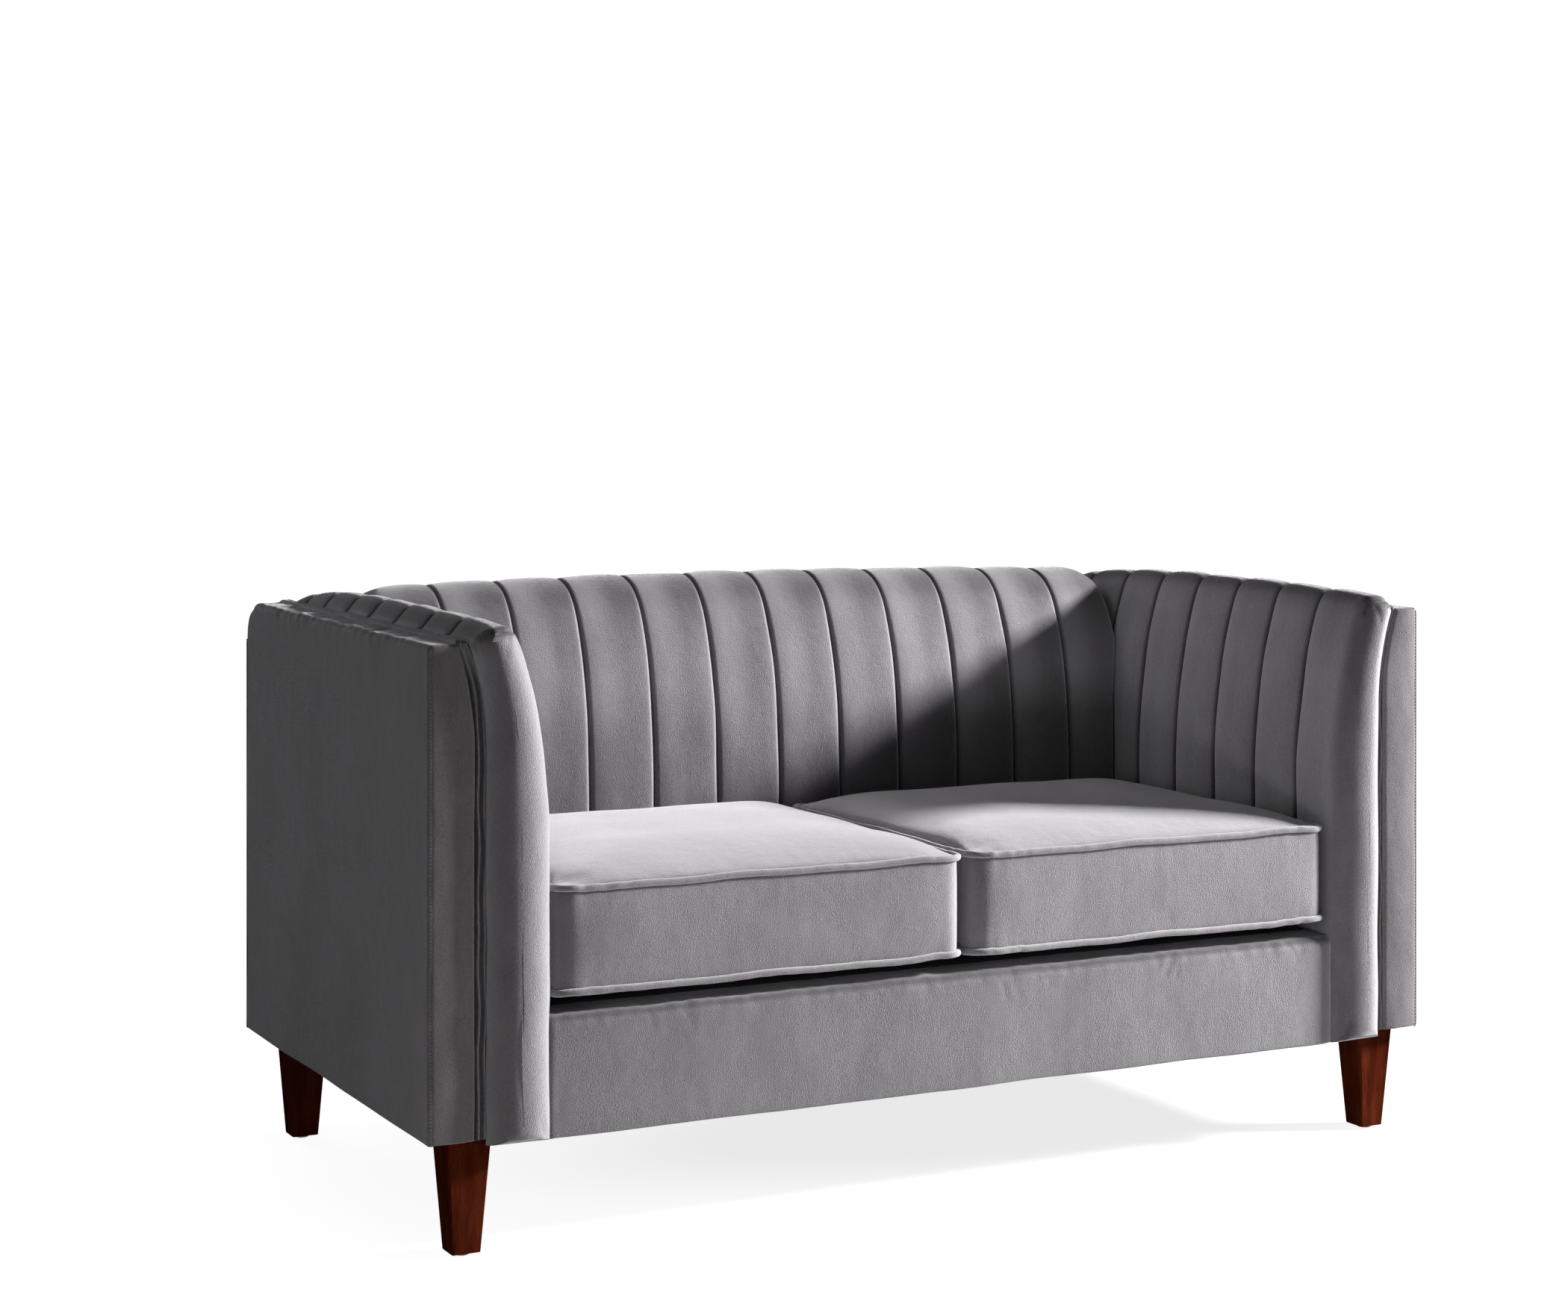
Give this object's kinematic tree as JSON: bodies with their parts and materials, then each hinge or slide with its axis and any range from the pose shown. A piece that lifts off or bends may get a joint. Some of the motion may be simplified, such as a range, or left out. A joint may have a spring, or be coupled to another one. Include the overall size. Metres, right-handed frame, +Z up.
{
  "type": "channel-tufted loveseat",
  "caption": "Two-seat sofa with vertical channel tufting on the back and inner arms, boxed loose seat cushions with piping, and tapered square wooden legs.",
  "frame": {"origin": "on the floor, under the middle of the sofa's footprint", "axes": "+X to the right as seen from the front, across the seat; +Y from the front to the back; +Z up"},
  "size_m": [1.5, 0.788, 0.7878],
  "materials": {
    "velvet": "short-pile velvet, mid grey with a sheen",
    "frame_timber": "raw sawn softwood and ply",
    "leg_wood": "red-brown stain under satin lacquer",
    "steel": "plain bright steel",
    "lining_cloth": "black non-woven cloth",
    "glide_nylon": "moulded nylon"
  },
  "bodies": {
    "frame": {"left_arm_outside_panel": "velvet", "left_arm_front_facing": "velvet", "left_arm_top_boxing": "velvet", "left_arm_inner_pad": "velvet", "left_arm_welt": "velvet", "left_arm_front_post": "frame_timber", "left_arm_rear_post": "frame_timber", "left_arm_top_rail": "frame_timber", "left_arm_bearer": "frame_timber", "left_arm_inner_board": "frame_timber", "left_front_leg": "leg_wood", "left_front_leg_plate": "steel", "left_front_glide": "glide_nylon", "left_rear_leg": "leg_wood", "left_rear_leg_plate": "steel", "left_rear_glide": "glide_nylon", "right_arm_outside_panel": "velvet", "right_arm_front_facing": "velvet", "right_arm_top_boxing": "velvet", "right_arm_inner_pad": "velvet", "right_arm_welt": "velvet", "right_arm_front_post": "frame_timber", "right_arm_rear_post": "frame_timber", "right_arm_top_rail": "frame_timber", "right_arm_bearer": "frame_timber", "right_arm_inner_board": "frame_timber", "right_front_leg": "leg_wood", "right_front_leg_plate": "steel", "right_front_glide": "glide_nylon", "right_rear_leg": "leg_wood", "right_rear_leg_plate": "steel", "right_rear_glide": "glide_nylon", "back_inner_pad": "velvet", "back_outside_panel": "velvet", "front_apron": "velvet", "back_left_post": "frame_timber", "back_center_post": "frame_timber", "back_right_post": "frame_timber", "back_top_rail": "frame_timber", "back_bottom_rail": "frame_timber", "seat_front_rail": "frame_timber", "seat_rear_rail": "frame_timber", "seat_center_rail": "frame_timber", "seat_left_rail": "frame_timber", "seat_right_rail": "frame_timber", "front_spring_clip": "steel", "rear_spring_clip": "steel", "seat_spring_1": "steel", "seat_spring_2": "steel", "seat_spring_3": "steel", "seat_spring_4": "steel", "seat_spring_5": "steel", "seat_spring_6": "steel", "seat_spring_7": "steel", "dust_cover": "lining_cloth", "seat_deck_cover": "lining_cloth"},
    "left_cushion": {"left_seat_cushion": "velvet"},
    "left_slider": {"left_cushion_zip_slider": "steel"},
    "right_cushion": {"right_seat_cushion": "velvet"},
    "right_slider": {"right_cushion_zip_slider": "steel"}
  },
  "joints": [
    {"name": "left_cushion_lift", "type": "slide", "parent": "frame", "child": "left_cushion", "axis": [0, 0, 1], "range_m": [0, 0.55]},
    {"name": "right_cushion_lift", "type": "slide", "parent": "frame", "child": "right_cushion", "axis": [0, 0, 1], "range_m": [0, 0.55]},
    {"name": "left_zip_pull", "type": "slide", "parent": "left_cushion", "child": "left_slider", "axis": [1, 0, 0], "range_m": [0, 0.46]},
    {"name": "right_zip_pull", "type": "slide", "parent": "right_cushion", "child": "right_slider", "axis": [1, 0, 0], "range_m": [0, 0.46]}
  ]
}
